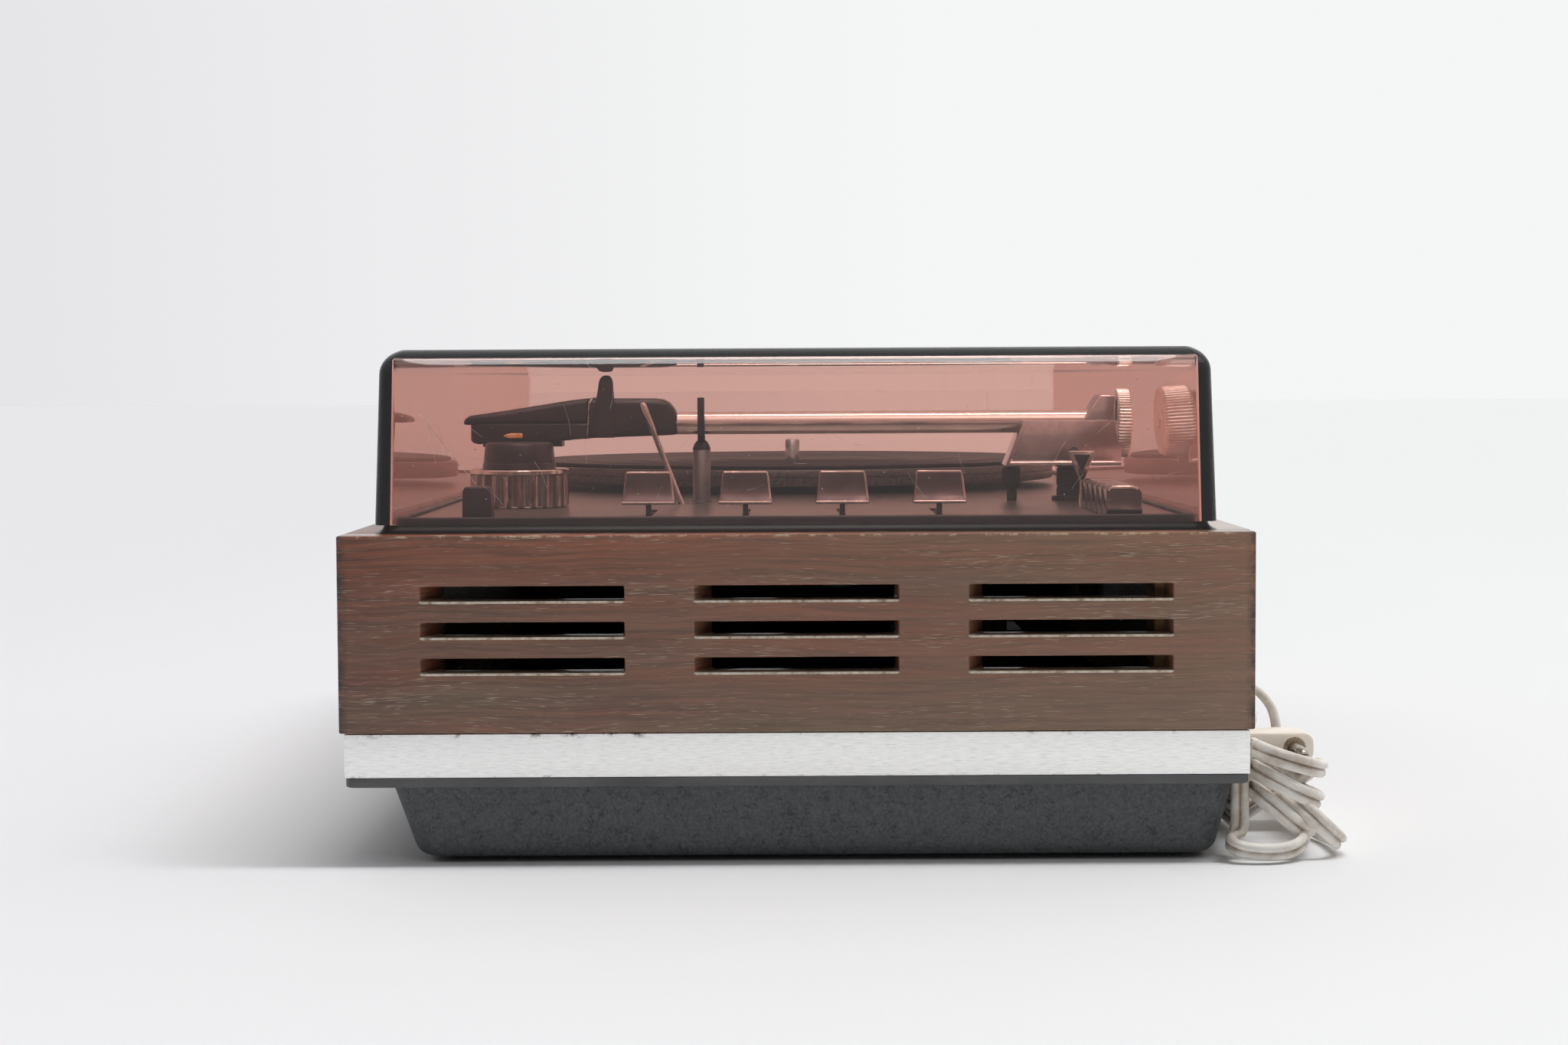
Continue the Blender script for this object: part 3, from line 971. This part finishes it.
# Electronics: a laminated mains transformer, a phenolic amplifier board with its capacitors, and
# a finned heat sink, all standing on the floor of the tray.
# Iron laminations, varnished: dark grey-brown, finely striped by the edges of the sheets.
lamination = mottled("varnished_iron_laminations", {"Metallic": 0.6, "Roughness": 0.5}, (50, 1, 50), 2,
                     ((0.35, "#3f3b37"), (0.65, "#6a635b")), relief=(0.4, 0.0002))
dress(lamination, "transformer")
# Phenolic board, pressed from paper: dull olive brown, cloudy.
board = mottled("paper_phenolic_board", {"Roughness": 0.55}, 4.55, 5,
                ((0.3, "#5a4a28"), (0.7, "#80693c")))
dress(board, "amp_board")
# Aluminium, extruded: light grey, with fine lines along the fins.
extruded = mottled("extruded_aluminium", {"Metallic": 1.0}, (1.11, 1.11, 66.7), 3,
                   ((0.35, "#8f9092"), (0.65, "#bcbdbe")), gloss=(0.5, 0.32))
dress(extruded, "heat_sink")

# Dust cover: five sides moulded in one from smoked acrylic, the walls drafted and every outer
# edge well rounded. It stands on the deck frame and lifts off.
cover_x, cover_y, cover_foot, cover_top, end_draft = 258.0, 157.0, 126.22, 191.5, 2


def cover_rings(top, end_wall, side_wall, radius, side_draft, corner):
    """Rings of one face of the cover, from its foot up and over the rounded edge."""
    rings = []
    spots = [(cover_foot, 0.0), (cover_foot + 20, 0.0)]
    for k in range(11):
        a = math.pi / 2 * k / 10
        spots.append((top - radius + radius * math.sin(a), radius * (1 - math.cos(a))))
    for z, tuck in spots:
        end_in, side_in = (
            (z - cover_foot) * math.tan(math.radians(draft)) + tuck for draft in (end_draft, side_draft))
        edge = min(corner, max(0.4, radius - tuck))
        rings.append(rounded(cover_x - end_wall - end_in, cover_y - side_wall - side_in, edge, z, corner=10))
    return rings


# Smoked acrylic: clear and glossy, rose-brown through two walls and nearly black where the light
# runs along a wall.
smoke, tree, shader = surface("smoked_rose_acrylic", {"Base Color": "#ffffff", "Transmission Weight": 1.0,
                                                      "IOR": 1.49, "Roughness": 0.0})
clear = add(tree, "BsdfTransparent", {"Color": "#e6e6e6"})
shadow = add(tree, "LightPath", out="Is Shadow Ray")
acrylic = tree.nodes["Principled BSDF"].outputs[0]
output = tree.nodes["Material Output"].inputs
add(tree, "MixShader", (shadow, acrylic, clear), into=output["Surface"])
tint = add(tree, "VolumeAbsorption", {"Color": (0.727, 0.19, 0.034, 1.0), "Density": 165.0})
add(tree, "MixShader", (shadow, tint), into=output["Volume"])
bm = bmesh.new()
inside = cover_rings(cover_top - 3.6, end_wall=3.3, side_wall=5.6, radius=1.4, side_draft=1.2, corner=1.4)
skin(bm, inside[::-1] + cover_rings(cover_top, end_wall=0, side_wall=0, radius=9, side_draft=2, corner=4))
piece("smoked_cover", bm, smoke, "cover", "smoked_acrylic", "dust_cover", sharp=50)

# Wear on the cover: hairline scratches and specks of dust on its right-hand wall, as thin pale
# marks.
# Acrylic, scratched: pale and dull where its gloss is broken.
worn_white = mottled("scratched_acrylic_edge", {"Roughness": 0.8, "Specular IOR Level": 0.2}, 2.5, 2,
                     ((0.35, "#b59a92"), (0.65, "#eee4df")))


def mark(bm, start, bow, end, width):
    """A thin strip on the cover's wall, bent through a middle place."""
    line = through([Vector((0, *p)) for p in (start, bow, end)], 6)
    for p in line:
        p.x = cover_x + 0.04 - (p.z - cover_foot) * math.tan(math.radians(end_draft))
    thin, half = 0.02, width / 2
    sweep(bm, line, [sideways] * len(line), [(thin, -half), (thin, half), (-thin, half), (-thin, -half)])


bm = bmesh.new()
mark(bm, (-140.7, 168.9), (-130, 155.2), (-118.9, 141.4), 0.2)
mark(bm, (-136.2, 170.6), (-136, 160), (-133.7, 149.2), 0.14)
mark(bm, (-133, 163), (-131.4, 158), (-130.8, 152), 0.12)
for i in range(26):
    spin, spot, rise = i * 2.4, i * 0.618 % 1, i * 0.382 * 1.9 % 1
    centre = Vector((-148 + 296 * spot, 133 + 46 * rise))
    reach = Vector((math.cos(spin), math.sin(spin))) * (2 + 5 * (i * 0.77 % 1))
    bend = Vector((-reach.y, reach.x)) * 0.08
    mark(bm, centre - reach, centre + bend, centre + reach, 0.07)
for i in range(110):
    centre = Vector((-150 + 300 * (i * 0.618034 % 1), 130 + 55 * (i * 0.754878 % 1)))
    size = 0.1 + 0.16 * (i * 0.41 % 1) ** 3
    mark(bm, centre - Vector((size, 0)), centre + Vector((0, 0.01)), centre + Vector((size, 0)), 1.6 * size)
piece("cover_scratches", bm, worn_white, "cover", "smoked_acrylic")

# Floor: a sweep of matt white paper, which runs out of sight behind and ends just behind the
# camera.
# Matt paper: nearly white and even, a little greyer towards the front of the cabinet.
paper, tree, shader = surface("matt_white_paper", {"Roughness": 0.9, "Specular IOR Level": 0.1})
place = add(tree, "TexCoord", out="Object")
side = add(tree, "SeparateXYZ", {"Vector": place}, out=1)
side = add(tree, "MapRange", (side, -0.6, 0.6))
add(tree, "ValToRGB", {"Fac": side}, into=shader["Base Color"], stops=((0.0, "#e8e8eb"), (1.0, "#f1f2f2")))
bm = bmesh.new()
block(bm, (-30, -30, -0.002), (1.3, 30, 0.0))
mesh = bpy.data.meshes.new("paper_floor")
bm.to_mesh(mesh)
bm.free()
mesh.materials.append(paper)
floor = bpy.data.objects.new("paper_floor", mesh)
scene.collection.objects.link(floor)

# Studio light: a white backdrop behind, a dim room in front, light from above and behind, a strip
# of light overhead that reaches from the middle out to the rear side, made of seven suns that
# stay out of the cover's gloss, a soft box, and a card that lights the gloss alone.
world = bpy.data.worlds.new("pale_studio")
scene.world = world
world.use_nodes = True
tree = world.node_tree
heading = add(tree, "TexCoord", out="Generated")
ahead, aside, above = (add(tree, "SeparateXYZ", {"Vector": heading}, out=i) for i in range(3))
camera_ray, glossy_ray, through_ray = (
    add(tree, "LightPath", out=f"Is {kind} Ray") for kind in ("Camera", "Glossy", "Transmission"))
seen = add(tree, "Math", (camera_ray, glossy_ray), operation="MAXIMUM")
seen = add(tree, "Math", (seen, through_ray), operation="MAXIMUM")
overhead = add(tree, "MapRange", (above, 0, 1, 0.38, 1.18))
fade = add(tree, "MapRange", (ahead, -0.4, 0.3, 1, 0.1))
overhead = add(tree, "Math", (overhead, fade), operation="MULTIPLY")
room = add(tree, "Background", {"Color": "#ffffff", "Strength": overhead})
front = add(tree, "MapRange", (ahead, 0.1, 0.7))
low = add(tree, "MapRange", (above, 0.6, 0.2))
dim = add(tree, "Math", (front, low), operation="MULTIPLY")
unseen = add(tree, "Math", (1.0, camera_ray), operation="SUBTRACT")
dim = add(tree, "Math", (dim, unseen), operation="MULTIPLY")
mirrored = add(tree, "Math", (glossy_ray, through_ray), operation="SUBTRACT")
soft = add(tree, "MapRange", (mirrored, 0, 1, 1, 0.3))
dim = add(tree, "Math", (dim, soft), operation="MULTIPLY")
sheet = add(tree, "MapRange", (aside, -0.3, 0.05))
sheet = add(tree, "ValToRGB", {"Fac": sheet}, stops=((0.0, "#e6e5e8"), (1.0, "#f5f6f6")))
sheet = add(tree, "Mix", {"Factor": dim, 6: sheet, 7: "#8a8786"}, out=2, data_type="RGBA")
backdrop = add(tree, "Background", {"Color": sheet, "Strength": 1.0})
add(tree, "MixShader", (seen, room, backdrop), into=tree.nodes["World Output"].inputs["Surface"])


def aimed(thing, place, target):
    """Put a lamp in place, facing its target."""
    thing.location = place
    thing.rotation_euler = (Vector(target) - Vector(place)).to_track_quat("-Z", "Y").to_euler()
    scene.collection.objects.link(thing)


for tilt in (0.02, 0.13, 0.24, 0.35, 0.46, 0.57, 0.68):
    strip = bpy.data.lights.new("overhead_strip", "SUN")
    strip.energy, strip.angle = 0.25, math.radians(8)
    lamp = bpy.data.objects.new("overhead_strip", strip)
    lamp.visible_glossy, lamp.visible_transmission = False, tilt < 0.2
    aimed(lamp, (0.02, tilt, 1.0), (0, 0, 0))
box = bpy.data.lights.new("soft_box", "AREA")
box.shape, box.size, box.size_y, box.energy = "RECTANGLE", 1.2, 0.6, 2.0
aimed(bpy.data.objects.new("soft_box", box), (0.9, 0.6, 1.3), (0.2, 0, 0.1))
card = bpy.data.lights.new("gloss_card", "AREA")
card.shape, card.size, card.size_y, card.energy = "RECTANGLE", 0.7, 0.6, 10.0
lamp = bpy.data.objects.new("gloss_card", card)
lamp.visible_diffuse = lamp.visible_transmission = False
aimed(lamp, (0.68, 0.0, 1.09), (0.26, 0, 0.19))
